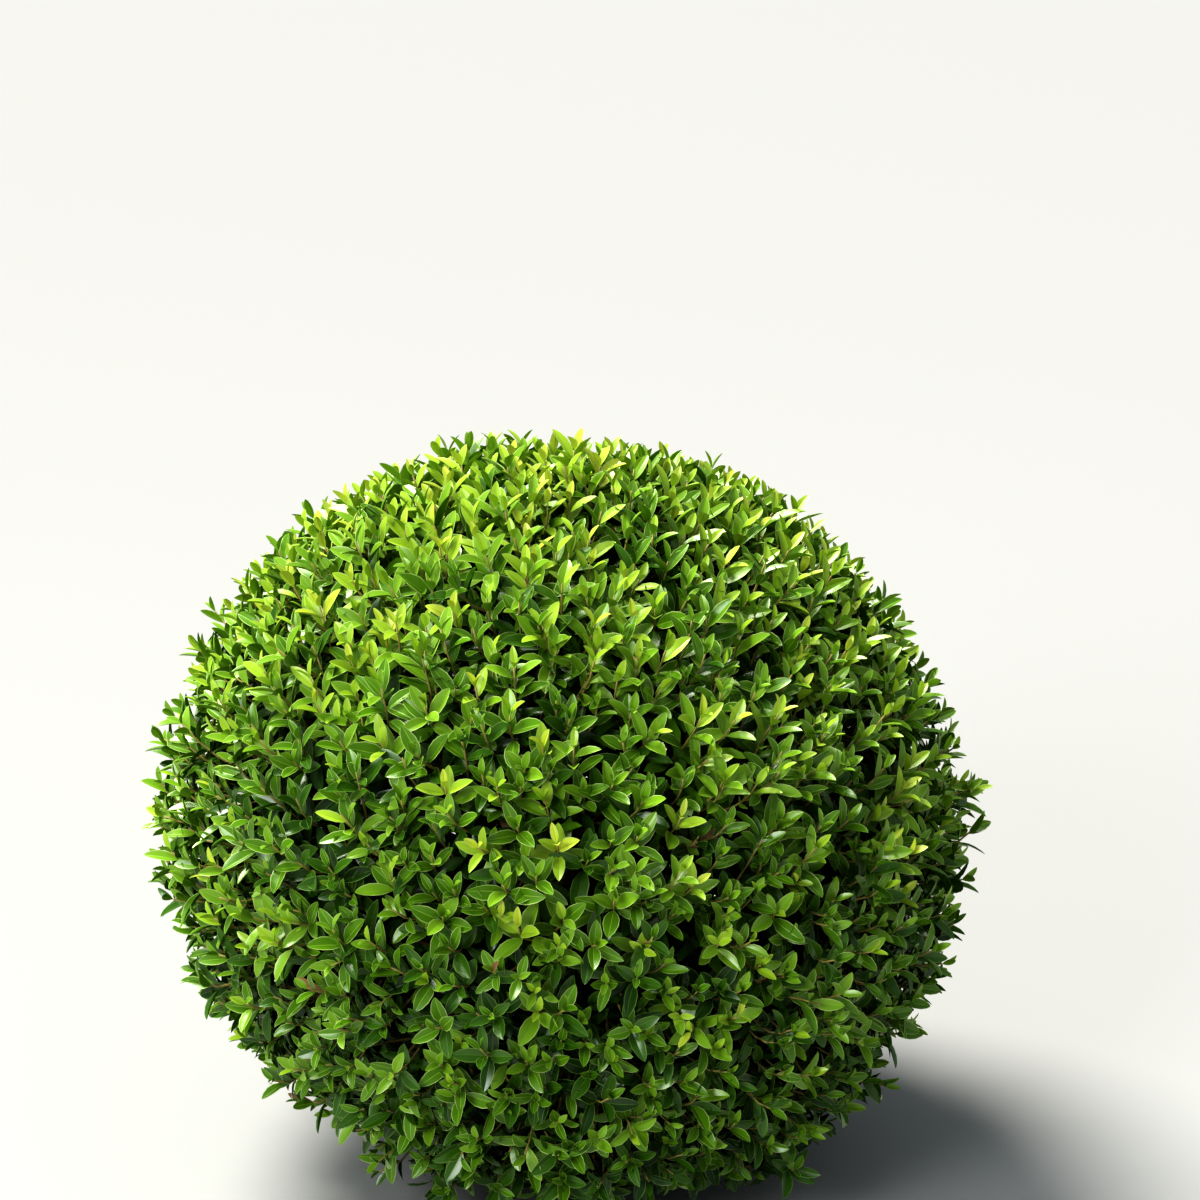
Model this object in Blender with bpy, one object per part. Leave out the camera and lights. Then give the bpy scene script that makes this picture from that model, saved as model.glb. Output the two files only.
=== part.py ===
"""A shrubby honeysuckle clipped to a ball, on one short stem that is rooted in the ground.

The stem is cut flat at ground level and forks into seven boughs. Each bough ends where it enters its own
mass of foliage: one mass at the top of the ball and six round its side. A mass is a thick curved core that
twigs stand out of. The twigs fork into shoots, and the shoots carry opposite pairs of leaves, each pair
turned square to the one below it. Units are metres, +Z is up, and the origin is the middle of the flat cut.
"""

import math
import random

import bmesh
import bpy
from mathutils import Matrix, Vector
from mathutils.bvhtree import BVHTree

# The clipped ball, measured from its middle to the usual leaf tips
CROWN_RADIUS = 0.2315
CROWN_MIDDLE = Vector((0.0, 0.0, 0.200))
FOOT_DEPTH = 0.192
FOOT_SHARPNESS = 8
LOW_LEFT_TUCK = 0.15
LUMP_HEIGHT = 0.008
LUMP_WAVES = Vector((7.0, 8.0, 7.5))
LUMP_SHIFTS = Vector((0.8, 2.1, 0.4))

# How the ball is shared out among the masses
SIDE_MASSES = 6
SIDE_HALF_ANGLE = math.pi / SIDE_MASSES
TOP_HALF_ANGLE = math.radians(43)
CORE_GAP = 0.0007
LEAF_GAP = 0.0005
TWIG_GAP = 0.003
GROUND_GAP = 0.006
STEM_ROOM = 0.034

# The stem, from its root flare to its fork
STEM_HEIGHT = 0.062
STEM_RINGS = (
    (0.0, 0.0240),
    (0.006, 0.0195),
    (0.014, 0.0160),
    (0.024, 0.0136),
    (0.038, 0.0132),
    (0.050, 0.0150),
    (STEM_HEIGHT, 0.0175),
    (0.072, 0.0155),
    (0.080, 0.0095),
    (0.084, 0.0040),
)
STEM_LEAN = Vector((0.004, 0.003, 0.0))
STEM_SIDES = 16
ROOT_RIDGES = 5
ROOT_RIDGE_HEIGHT = 0.11
ROOT_FLARE_TOP = 0.024

# The boughs
BOUGH_BASE_RADIUS = 0.0056
BOUGH_TIP_RADIUS = 0.0033
BOUGH_TILT = math.radians(50)
BOUGH_END = 0.096
BOUGH_STRAIGHT = 0.008
BOUGH_LEAVING = 0.42
BOUGH_ARRIVING = 0.38
BOUGH_SIDES = 8
BOUGH_STEPS = 7
SEAT_GAP = 0.0003

# The cores of the masses
CORE_INNER = 0.106
CORE_COVER = 0.046
CORE_CELLS = 6
CORE_BUMP = 0.008
CORE_RIM_DROP = 0.004
CORE_LOWEST_POLAR = math.radians(150)
MASS_STEM_END = 0.140
MASS_STEM_TAPER = 0.8

# Twigs and shoots
TWIGS_ALL_ROUND = 46
SHOOTS_ALL_ROUND = 121
LOWEST_POLAR = math.radians(156)
TWIG_DEPTH = 0.072
FORK_DEPTH = 0.050
FORK_GAP = 0.006
SHOOT_DEPTH = 0.023
SHOOT_UNEVENNESS = 0.004
LONG_SHOOT_EVERY = 8
LONG_SHOOT_MORE = 0.022
TWIG_RADII = (0.0032, 0.0026)
SHOOT_RADII = (0.0026, 0.0016)

# Leaves
LEAF_LENGTH = 0.040
LEAF_WIDTH = 0.021
LEAF_THICKNESS = 0.0016
LEAF_FOLD = 0.0026
LEAF_WIDEST = 0.46
LEAF_THICKEST = 0.30
LEAF_SINK = 0.0004
LEAF_RISE = 0.12
LEAF_SPREAD = (0.84, 1.14)
LEAF_SIZES = (1.0, 0.78)
PAIR_PLACES = (0.30, 0.64, 0.95)
PAIR_SPREADS = (math.radians(80), math.radians(62), math.radians(36))
TURN_TRIES = 6
SEED = 41

# Faces that meet more sharply than this stay creased
SMOOTH_ANGLE = math.radians(50)

# Each finish as its base colour and roughness
FRESH_LEAVES = ((0.120, 0.255, 0.026), 0.40)
DEEP_LEAVES = ((0.072, 0.180, 0.022), 0.42)
OLD_BARK = ((0.110, 0.066, 0.042), 0.88)
YOUNG_BARK = ((0.190, 0.104, 0.058), 0.80)


def material(name, finish):
    """A plain material of one base colour and roughness."""
    colour, roughness = finish
    made = bpy.data.materials.new(name)
    made.use_nodes = True
    shader = made.node_tree.nodes["Principled BSDF"]
    shader.inputs["Base Color"].default_value = (*colour, 1)
    shader.inputs["Roughness"].default_value = roughness
    shader.inputs["Metallic"].default_value = 0.0
    made.diffuse_color = (*colour, 1)
    return made


def add_object(name, shape, finish, origin=Vector(), collection=None):
    """An object from world points and faces, with its own origin placed at the given point."""
    points, faces = shape
    mesh = bpy.data.meshes.new(name)
    mesh.from_pydata([tuple(p - origin) for p in points], [], faces)
    mesh.materials.append(finish)
    made = bpy.data.objects.new(name, mesh)
    made.location = origin
    (collection or bpy.context.scene.collection).objects.link(made)
    return made


def shade_round(made):
    made.data.shade_smooth()
    made.data.set_sharp_from_angle(angle=SMOOTH_ANGLE)


def direction_of(azimuth, polar):
    level = math.sin(polar)
    return Vector((math.cos(azimuth) * level, math.sin(azimuth) * level, math.cos(polar)))


def crown_reach(direction):
    """Distance from the crown's middle to its clipped surface.

    A soft minimum of the ball's radius and of the way down to its flattened foot, tucked in a little at the
    lower left, with low lumps: the product of a sine along each axis.
    """
    down = max(0.0, -direction.z)
    squeeze = 1 + (CROWN_RADIUS * down / FOOT_DEPTH) ** FOOT_SHARPNESS
    tuck = LOW_LEFT_TUCK * max(0.0, -direction.x) * down
    lump = LUMP_HEIGHT
    for k in range(3):
        lump *= math.sin(LUMP_WAVES[k] * direction[k] + LUMP_SHIFTS[k])
    return CROWN_RADIUS * squeeze ** (-1 / FOOT_SHARPNESS) * (1 - tuck) + lump


def crown_point(direction, depth):
    """The point that lies this deep under the clipped surface, along a direction from the middle."""
    return CROWN_MIDDLE + direction * (crown_reach(direction) - depth)


def lattice(count):
    """Directions spread evenly over a sphere on a spiral, down to the lowest polar angle."""
    golden = math.pi * (3 - math.sqrt(5))
    heights = [1 - 2 * (i + 0.5) / count for i in range(count)]
    return [
        direction_of(i * golden, math.acos(z))
        for i, z in enumerate(heights)
        if z > math.cos(LOWEST_POLAR)
    ]


class Mass:
    """One mass of foliage and the space that is its own: a cone at the top, or a wedge round the side."""

    def __init__(self, place, azimuth=None):
        self.place = place
        self.azimuth = azimuth
        self.axis = Vector((0, 0, 1)) if azimuth is None else direction_of(azimuth, math.pi / 2)

    def room(self, point):
        """How far the point lies inside this mass's space. Below zero, it is outside."""
        across = math.hypot(point.x, point.y)
        rise = point.z - CROWN_MIDDLE.z
        off_cone = across * math.cos(TOP_HALF_ANGLE) - rise * math.sin(TOP_HALF_ANGLE)
        if self.azimuth is None:
            return -off_cone
        outwards = point.x * self.axis.x + point.y * self.axis.y
        sideways = abs(point.y * self.axis.x - point.x * self.axis.y)
        off_side = outwards * math.sin(SIDE_HALF_ANGLE) - sideways * math.cos(SIDE_HALF_ANGLE)
        return min(off_cone, off_side)

    def core_direction(self, s, t, radius):
        """Direction for s and t from -1 to 1 across the core, which stops just short of each border."""
        if self.azimuth is None:
            polar = (TOP_HALF_ANGLE - math.asin(CORE_GAP / radius)) * max(abs(s), abs(t))
            return direction_of(math.atan2(t, s), polar)
        first = TOP_HALF_ANGLE + math.asin(CORE_GAP / radius)
        polar = first + (CORE_LOWEST_POLAR - first) * (1 - t) / 2
        half = SIDE_HALF_ANGLE - math.asin(CORE_GAP / (radius * math.sin(polar)))
        return direction_of(self.azimuth + s * half, polar)


def tube(path, radii, sides, side=Vector((1, 0, 0))):
    """A closed tube along a path, its ends square to it, with its first corners on the given side."""
    points, faces = [], []
    for i, centre in enumerate(path):
        before, after = path[max(i - 1, 0)], path[min(i + 1, len(path) - 1)]
        along = (after - before).normalized()
        side = (side - along * side.dot(along)).normalized()
        up = along.cross(side)
        for k in range(sides):
            angle = 2 * math.pi * k / sides
            points.append(centre + (side * math.cos(angle) + up * math.sin(angle)) * radii[i])
    return points, ring_faces(len(path), sides)


def ring_faces(rings, sides):
    """The faces of a closed stack of rings that run anticlockwise as seen from its end."""
    faces = []
    for i in range(rings - 1):
        for k in range(sides):
            a, b = i * sides + k, i * sides + (k + 1) % sides
            faces.append((a, b, b + sides, a + sides))
    faces.append(tuple(reversed(range(sides))))
    faces.append(tuple(range((rings - 1) * sides, rings * sides)))
    return faces


def stem_shape(grown):
    """Level rings from the flat cut to the rounded fork, all moved outwards by this much."""
    points = []
    for height, radius in STEM_RINGS:
        lean = STEM_LEAN * min(height / STEM_HEIGHT, 1.0)
        ridge = ROOT_RIDGE_HEIGHT * max(0.0, 1 - height / ROOT_FLARE_TOP)
        for k in range(STEM_SIDES):
            angle = 2 * math.pi * k / STEM_SIDES
            reach = radius * (1 + ridge * math.cos(ROOT_RIDGES * angle)) + grown
            points.append(lean + Vector((reach * math.cos(angle), reach * math.sin(angle), height)))
    for point in points[-STEM_SIDES:]:
        point.z += grown
    return points, ring_faces(len(STEM_RINGS), STEM_SIDES)


def fork_point():
    return STEM_LEAN + Vector((0, 0, STEM_HEIGHT))


def make_stem(bark):
    """The short stem, and the slightly larger copy of it that the boughs are cut back to."""
    made = add_object("stem", stem_shape(0.0), bark)
    shade_round(made)
    cutter = add_object("fork_cutter", stem_shape(SEAT_GAP), bark)
    cutter.hide_render = True
    cutter.display_type = "WIRE"
    return made, cutter


def bough_path(mass):
    """A cubic curve from inside the fork, with a straight end that faces the mass's stem."""
    start = fork_point()
    bend = CROWN_MIDDLE + mass.axis * (BOUGH_END - BOUGH_STRAIGHT)
    leaving = Vector((0, 0, 1)) if mass.azimuth is None else direction_of(mass.azimuth, BOUGH_TILT)
    span = (bend - start).length
    second = start + leaving * span * BOUGH_LEAVING
    third = bend - mass.axis * span * BOUGH_ARRIVING
    path = []
    for i in range(BOUGH_STEPS):
        t = i / (BOUGH_STEPS - 1)
        weights = ((1 - t) ** 3, 3 * t * (1 - t) ** 2, 3 * t * t * (1 - t), t**3)
        path.append(sum((p * w for p, w in zip((start, second, third, bend), weights)), Vector()))
    return [*path, CROWN_MIDDLE + mass.axis * BOUGH_END]


def make_bough(mass, cutter, bark):
    """One tapering limb, seated on the fork by cutting it with the grown stem."""
    drop = (BOUGH_BASE_RADIUS - BOUGH_TIP_RADIUS) / BOUGH_STEPS
    radii = [BOUGH_BASE_RADIUS - drop * i for i in range(BOUGH_STEPS + 1)]
    shape = tube(bough_path(mass), radii, BOUGH_SIDES)
    made = add_object(f"bough_{mass.place}", shape, bark, fork_point())
    cut = made.modifiers.new("seat", "BOOLEAN")
    cut.operation = "DIFFERENCE"
    cut.object = cutter
    shade_round(made)
    return made


def core_shape(mass, dice):
    """A thick curved block under the leaves: a bumpy outer face, a smooth inner face and four walls."""
    rows = CORE_CELLS + 1
    outer, inner, faces = [], [], []
    for i in range(rows):
        for j in range(rows):
            s, t = 2 * i / CORE_CELLS - 1, 2 * j / CORE_CELLS - 1
            direction = mass.core_direction(s, t, CROWN_RADIUS - CORE_COVER)
            inside = 0 < i < CORE_CELLS and 0 < j < CORE_CELLS
            bump = dice.uniform(-CORE_BUMP, CORE_BUMP) if inside else -CORE_RIM_DROP
            outer.append(crown_point(direction, CORE_COVER - bump))
            inner.append(CROWN_MIDDLE + mass.core_direction(s, t, CORE_INNER) * CORE_INNER)
    for i in range(CORE_CELLS):
        for j in range(CORE_CELLS):
            quad = [i * rows + j, (i + 1) * rows + j, (i + 1) * rows + j + 1, i * rows + j + 1]
            faces.append(tuple(quad))
            faces.append(tuple(k + len(outer) for k in reversed(quad)))
    rim = [i * rows for i in range(CORE_CELLS)]
    rim += [CORE_CELLS * rows + j for j in range(CORE_CELLS)]
    rim += [i * rows + CORE_CELLS for i in range(CORE_CELLS, 0, -1)]
    rim += list(range(CORE_CELLS, 0, -1))
    for a, b in zip(rim, rim[1:] + rim[:1]):
        faces.append((b, a, a + len(outer), b + len(outer)))
    return outer + inner, faces


def shoot_shape(fork, tip, side):
    """A four-sided tapering shoot, with the middles of its faces where the leaf pairs stand."""
    along = (tip - fork).normalized()
    corner = Matrix.Rotation(math.pi / 4, 3, along) @ side
    return tube([fork - along * SHOOT_RADII[0] / 2, tip], SHOOT_RADII, 4, corner)


def leaf_shape(root, along, face, length):
    """A blade of eight faces: a kite-shaped outline folded up along its midrib, pointed at root and tip."""
    side = along.cross(face).normalized()
    up = side.cross(along).normalized()
    width = LEAF_WIDTH * length / LEAF_LENGTH
    wide = root + along * length * LEAF_WIDEST + up * LEAF_FOLD
    thick = root + along * length * LEAF_THICKEST
    points = [
        root - along * LEAF_SINK,
        wide + side * width / 2,
        root + along * length - up * LEAF_FOLD,
        wide - side * width / 2,
        thick + up * LEAF_THICKNESS / 2,
        thick - up * LEAF_THICKNESS / 2,
    ]
    faces = []
    for k in range(4):
        following = (k + 1) % 4
        faces.append((k, following, 4))
        faces.append((following, k, 5))
    return points, faces


class Standing:
    """The shapes that stand in one mass so far, to tell what a new one would run into."""

    def __init__(self):
        self.known = []

    def measure(self, shape):
        points, faces = shape
        middle = sum(points, Vector()) / len(points)
        reach = max((p - middle).length for p in points)
        return middle, reach, BVHTree.FromPolygons(points, faces)

    def add(self, shape):
        """Keeps the shape, and returns its number."""
        self.known.append(self.measure(shape))
        return len(self.known) - 1

    def hit_by(self, shape, own_shoot):
        middle, reach, tree = self.measure(shape)
        for i, (other_middle, other_reach, other) in enumerate(self.known):
            near = (other_middle - middle).length < reach + other_reach
            if near and i != own_shoot and tree.overlap(other):
                return True
        return False


def in_own_space(points, mass):
    """Whether a leaf's corners and the middles between them keep to the mass's space."""
    middles = [(a + b) / 2 for i, a in enumerate(points) for b in points[i + 1 :]]
    for point in points + middles:
        off_axis = math.hypot(point.x, point.y)
        if mass.room(point) < LEAF_GAP or point.z < GROUND_GAP or off_axis < STEM_ROOM:
            return False
    return True


def shoot_leaves(fork, tip, side, sizes, mass, standing, own_shoot):
    """The leaves that fit on one shoot, in opposite pairs, each pair square to the one below it."""
    along = (tip - fork).normalized()
    leaves = []
    for level, (place, spread) in enumerate(zip(PAIR_PLACES, PAIR_SPREADS)):
        across = side if level % 2 == 0 else along.cross(side)
        for k, out in enumerate((across, -across)):
            blade = along * math.cos(spread) + out * math.sin(spread)
            blade = (blade + Vector((0, 0, LEAF_RISE))).normalized()
            for shrink in LEAF_SIZES:
                length = LEAF_LENGTH * sizes[2 * level + k] * shrink
                leaf = leaf_shape(fork.lerp(tip, place), blade, along, length)
                if in_own_space(leaf[0], mass) and not standing.hit_by(leaf, own_shoot):
                    leaves.append(leaf)
                    break
    return leaves


def grow_shoots(mass, standing, dice):
    """Twigs out of the core and the shoots that they fork into: all twig shapes, and each shoot's ends."""
    twigs = [d for d in lattice(TWIGS_ALL_ROUND) if mass.room(crown_point(d, FORK_DEPTH)) > FORK_GAP]
    shapes, shoots, grown = [], [], set()
    for i, direction in enumerate(lattice(SHOOTS_ALL_ROUND)):
        uneven = dice.uniform(-SHOOT_UNEVENNESS, SHOOT_UNEVENNESS)
        more = LONG_SHOOT_MORE if i % LONG_SHOOT_EVERY == 0 else uneven
        tip = crown_point(direction, SHOOT_DEPTH - more)
        if mass.room(tip) < TWIG_GAP:
            continue
        nearest = max(range(len(twigs)), key=lambda k: twigs[k].dot(direction))
        fork = crown_point(twigs[nearest], FORK_DEPTH)
        if nearest not in grown:
            grown.add(nearest)
            shapes.append(tube([crown_point(twigs[nearest], TWIG_DEPTH), fork], TWIG_RADII, 3))
            standing.add(shapes[-1])
        shoots.append((fork, tip))
    return shapes, shoots


def spray_shapes(mass, core, dice):
    """Twigs, shoots and leaves. Each shoot is turned about its length to where most of its leaves fit."""
    standing = Standing()
    standing.add(core)
    shapes, shoots = grow_shoots(mass, standing, dice)
    for fork, tip in shoots:
        along = (tip - fork).normalized()
        own = standing.add(shoot_shape(fork, tip, along.orthogonal()))
        sizes = [dice.uniform(*LEAF_SPREAD) for _ in range(2 * len(PAIR_PLACES))]
        first_turn = dice.uniform(0, math.pi / 2)
        best = None
        for attempt in range(TURN_TRIES):
            turn = first_turn + attempt * math.pi / 2 / TURN_TRIES
            side = Matrix.Rotation(turn, 3, along) @ along.orthogonal().normalized()
            leaves = shoot_leaves(fork, tip, side, sizes, mass, standing, own)
            if best is None or len(leaves) > len(best[1]):
                best = side, leaves
        side, leaves = best
        shapes.append(shoot_shape(fork, tip, side))
        for leaf in leaves:
            standing.add(leaf)
        shapes += leaves
    return shapes


def keep_largest_body(mesh):
    """Drops what a union leaves loose, and fills hollows that it sealed: only the largest shell stays."""
    work = bmesh.new()
    work.from_mesh(mesh)
    bmesh.ops.triangulate(work, faces=work.faces)
    unseen = set(work.faces)
    shells = []
    while unseen:
        shell, waiting = set(), [unseen.pop()]
        while waiting:
            face = waiting.pop()
            shell.add(face)
            for other in (f for edge in face.edges for f in edge.link_faces):
                if other in unseen:
                    unseen.discard(other)
                    waiting.append(other)
        shells.append(shell)
    largest = max(shells, key=len)
    loose = [face for shell in shells if shell is not largest for face in shell]
    bmesh.ops.delete(work, geom=loose, context="FACES")
    work.to_mesh(mesh)
    work.free()


def make_mass(mass, dice, leaf_green):
    """The core, its stem, its twigs and its leaves, joined by one Boolean union."""
    core = core_shape(mass, dice)
    stem_start = CROWN_MIDDLE + mass.axis * (BOUGH_END + SEAT_GAP)
    stem_end = CROWN_MIDDLE + mass.axis * MASS_STEM_END
    radii = (BOUGH_TIP_RADIUS, BOUGH_TIP_RADIUS * MASS_STEM_TAPER)
    stem = tube([stem_start, stem_end], radii, BOUGH_SIDES)
    name = f"foliage_{mass.place}"
    made = add_object(name, core, leaf_green, stem_start)
    pieces = bpy.data.collections.new(f"{name}_pieces")
    bpy.context.scene.collection.children.link(pieces)
    for i, shape in enumerate([stem, *spray_shapes(mass, core, dice)]):
        add_object(f"{name}_piece_{i}", shape, leaf_green, collection=pieces)
    union = made.modifiers.new("fuse", "BOOLEAN")
    union.operation = "UNION"
    union.operand_type = "COLLECTION"
    union.collection = pieces
    bpy.context.view_layer.objects.active = made
    bpy.ops.object.modifier_apply(modifier=union.name)
    for piece in list(pieces.objects):
        bpy.data.objects.remove(piece)
    bpy.data.collections.remove(pieces)
    keep_largest_body(made.data)
    return made


def main():
    for old in list(bpy.data.objects):
        bpy.data.objects.remove(old)
    fresh, deep = material("fresh_leaves", FRESH_LEAVES), material("deep_leaves", DEEP_LEAVES)
    old_bark, young_bark = material("old_bark", OLD_BARK), material("young_bark", YOUNG_BARK)
    dice = random.Random(SEED)
    shrub = bpy.data.objects.new("shrubby_honeysuckle", None)
    bpy.context.scene.collection.objects.link(shrub)
    made = list(make_stem(old_bark))
    masses = [Mass("top")]
    for i in range(SIDE_MASSES):
        masses.append(Mass(f"side_{i + 1}", -math.pi / 2 + i * 2 * SIDE_HALF_ANGLE))
    for mass in masses:
        made.append(make_bough(mass, made[1], young_bark))
        made.append(make_mass(mass, dice, fresh if mass.azimuth is None else deep))
    for piece in made:
        piece.parent = shrub


main()
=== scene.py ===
# %% [markdown]
# # A shrubby honeysuckle clipped to a ball
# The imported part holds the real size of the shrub: its stem, seven boughs and seven masses of foliage.
# This lesson loads that part as a fixed frame and dresses each node with barked limbs, twigs and leaves of
# real size, which grow by the rule that the part itself was grown by.

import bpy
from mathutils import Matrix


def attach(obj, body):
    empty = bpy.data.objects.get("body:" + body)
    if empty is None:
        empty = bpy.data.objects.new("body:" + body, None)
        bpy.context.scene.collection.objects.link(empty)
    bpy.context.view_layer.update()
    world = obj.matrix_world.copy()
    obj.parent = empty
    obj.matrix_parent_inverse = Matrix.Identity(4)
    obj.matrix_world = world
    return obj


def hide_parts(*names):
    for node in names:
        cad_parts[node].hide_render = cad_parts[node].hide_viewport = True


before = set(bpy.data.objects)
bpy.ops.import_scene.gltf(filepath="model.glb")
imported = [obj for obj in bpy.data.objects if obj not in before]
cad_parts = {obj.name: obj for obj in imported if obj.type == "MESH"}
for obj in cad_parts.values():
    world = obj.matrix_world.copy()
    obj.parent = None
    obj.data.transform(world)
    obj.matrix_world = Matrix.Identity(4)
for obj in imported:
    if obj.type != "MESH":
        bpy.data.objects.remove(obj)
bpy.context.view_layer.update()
print("nodes:", ", ".join(sorted(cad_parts)))

# %% [markdown]
# ## Directions and lengths
# Thousands of shoots and leaves are worked out at once, as rows of numpy arrays. Working row by row in
# Python would take minutes, so every helper takes whole arrays. All lengths are metres, and +Z is up.

# %% Helpers for rows of vectors
import math

import bpy
import numpy as np
from mathutils import Vector

UP = np.array([0.0, 0.0, 1.0])
dice = np.random.default_rng(41)


def unit(rows):
    """Each row divided by its own length."""
    return rows / np.linalg.norm(rows, axis=-1, keepdims=True)


def directions_of(azimuth, polar):
    """(cos azimuth sin polar, sin azimuth sin polar, cos polar), for whole arrays of angles."""
    azimuth, polar = np.broadcast_arrays(azimuth, polar)
    level = np.sin(polar)
    return np.stack([np.cos(azimuth) * level, np.sin(azimuth) * level, np.cos(polar)], -1)

# %% [markdown]
# ## The clipped surface
# Shears leave a ball with a flattened foot and low lumps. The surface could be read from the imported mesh,
# but a formula gives it everywhere, so the part's own formula is written again here.

# %% The crown's reach in every direction
CROWN_MIDDLE = np.array([0.0, 0.0, 0.200])
CROWN_RADIUS = 0.2315
FOOT_DEPTH = 0.192
FOOT_SHARPNESS = 8
LOW_LEFT_TUCK = 0.15
LUMP_HEIGHT = 0.008
LUMP_WAVES = np.array([7.0, 8.0, 7.5])
LUMP_SHIFTS = np.array([0.8, 2.1, 0.4])


def crown_reach(directions):
    """Radius × (1 + (radius × down / foot depth)^8)^(−1/8) × (1 − tuck), plus lumps.

    down is how far a direction points down, the tuck grows to the lower left, and a lump is the product of
    a sine along each axis.
    """
    down = np.maximum(0.0, -directions[..., 2])
    left = np.maximum(0.0, -directions[..., 0])
    squeeze = 1 + (CROWN_RADIUS * down / FOOT_DEPTH) ** FOOT_SHARPNESS
    lump = LUMP_HEIGHT * np.prod(np.sin(LUMP_WAVES * directions + LUMP_SHIFTS), axis=-1)
    return CROWN_RADIUS * squeeze ** (-1 / FOOT_SHARPNESS) * (1 - LOW_LEFT_TUCK * left * down) + lump


def crown_points(directions, depth):
    """Middle + direction × (reach − depth)."""
    return CROWN_MIDDLE + directions * (crown_reach(directions) - depth)[..., None]


print("reach up and to the front:", crown_reach(np.array([[0, 0, 1.0], [0, -1.0, 0]])).round(4))

# %% [markdown]
# ## Places for the tips
# Shoots share the light, so their tips stand about evenly over the ball. A golden-angle spiral spreads
# points evenly without a grid, and a small random push hides the spiral from the eye.

# %% Spread directions and share them among the masses
LOWEST_POLAR = math.radians(156)
TOP_HALF_ANGLE = math.radians(43)
SIDE_MASSES = 6
SIDE_ANGLE = 2 * math.pi / SIDE_MASSES
GOLDEN_ANGLE = math.pi * (3 - math.sqrt(5))
MASSES = ["top"] + [f"side_{i + 1}" for i in range(SIDE_MASSES)]


def lattice(count, push=0.0):
    """Azimuth i × golden angle and height 1 − 2(i + ½)/count, pushed by that share of the usual spacing."""
    number = np.arange(count)
    heights = 1 - 2 * (number + 0.5) / count
    spread = directions_of(number * GOLDEN_ANGLE, np.arccos(heights))
    spread = unit(spread + dice.normal(0, push * math.sqrt(4 * math.pi / count), spread.shape))
    return spread[spread[:, 2] > math.cos(LOWEST_POLAR)]


def mass_numbers(directions):
    """0 inside the top cone, otherwise 1 plus the number of the wedge, counted from the front."""
    polar = np.arccos(directions[:, 2])
    turned = np.arctan2(directions[:, 1], directions[:, 0]) + math.pi / 2
    wedge = np.round(turned / SIDE_ANGLE).astype(int) % SIDE_MASSES
    return np.where(polar < TOP_HALF_ANGLE, 0, wedge + 1)


side_azimuths = np.arange(SIDE_MASSES) * SIDE_ANGLE - math.pi / 2
MASS_AXES = np.vstack([UP, directions_of(side_azimuths, math.pi / 2)])
print("a fine lattice holds", len(lattice(1600)), "places")

# %% [markdown]
# ## Limbs, twigs and shoots
# A mass hangs on one stem that goes on from its bough. Limbs leave that stem, fine twigs leave the limbs
# and shoots leave the twigs, each generation thinner. Every one is a quadratic curve from a point on its
# parent to its own place under the surface, and its end turns outwards and up, to the light.

# %% Points and headings on a curve
def curve_points(ends, t):
    """(1 − t)² first + 2t(1 − t) middle + t² last, with t as an array over each curve's own points."""
    first, middle, last = (end[:, None] for end in ends)
    t = t[..., None]
    return (1 - t) ** 2 * first + 2 * t * (1 - t) * middle + t**2 * last


def curve_headings(ends, t):
    """The unit vector along (1 − t)(middle − first) + t(last − middle)."""
    first, middle, last = (end[:, None] for end in ends)
    t = t[..., None]
    return unit((1 - t) * (middle - first) + t * (last - middle))

# %% A branch from its parent to its tip
LIFT = 0.80
WANDER = 0.22


def grow(directions, tip_depth, parent_directions, parent_ends, leave_from):
    """Curves from the nearest parent of the same mass to tips at that depth.

    The middle point lies half the span back from the tip, against the heading: outwards, lifted a little
    and pushed at random.
    """
    kin = mass_numbers(directions)[:, None] == mass_numbers(parent_directions)[None]
    nearest = np.argmax(np.where(kin, directions @ parent_directions.T, -2.0), axis=1)
    chosen = tuple(end[nearest] for end in parent_ends)
    leave = dice.uniform(*leave_from, len(directions))
    start = curve_points(chosen, leave[:, None])[:, 0]
    tip = crown_points(directions, tip_depth)
    heading = unit(directions + LIFT * UP + dice.normal(0, WANDER, directions.shape))
    span = np.linalg.norm(tip - start, axis=1, keepdims=True)
    return start, tip - heading * span / 2, tip

# %% A limb from the stem of its mass to its fork
BOUGH_END = 0.096
MASS_STEM_END = 0.140
LAST_LIMB_PLACE = 0.9
LIMB_BEND = 0.45
FORK_DEPTH = 0.050


def limb_curves(directions):
    """Limbs leave the mass stem the later, the nearer they stand to its axis, and bend to their forks."""
    axes = MASS_AXES[mass_numbers(directions)]
    near = np.clip(np.sum(directions * axes, axis=1), 0, 1) ** 2
    leave = BOUGH_END + LAST_LIMB_PLACE * (MASS_STEM_END - BOUGH_END) * near
    start = CROWN_MIDDLE + axes * leave[:, None]
    tip = crown_points(directions, FORK_DEPTH)
    span = np.linalg.norm(tip - start, axis=1, keepdims=True)
    return start, start + unit(axes + directions) * span * LIMB_BEND, tip

# %% Grow the limbs, twigs and shoots
LIMBS_ALL_ROUND = 46
TWIGS_ALL_ROUND = 330
TWIG_PUSH = 0.25
TWIG_END_DEPTH = 0.044
TWIGS_LEAVE_FROM = (0.45, 1.0)
SHOOTS_ALL_ROUND = 1900
SHOOT_PUSH = 0.27
SHOOT_TIP_DEPTH = 0.0080
SHOOTS_LEAVE_FROM = (0.25, 1.0)
UNEVENNESS = 0.0046
STRAY_SHARE = 0.05
STRAY_MORE = (0.006, 0.016)
TOP_CALM = 0.4
TOP_DROP = 0.009
TOP_DROP_SHARPNESS = 5

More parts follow.
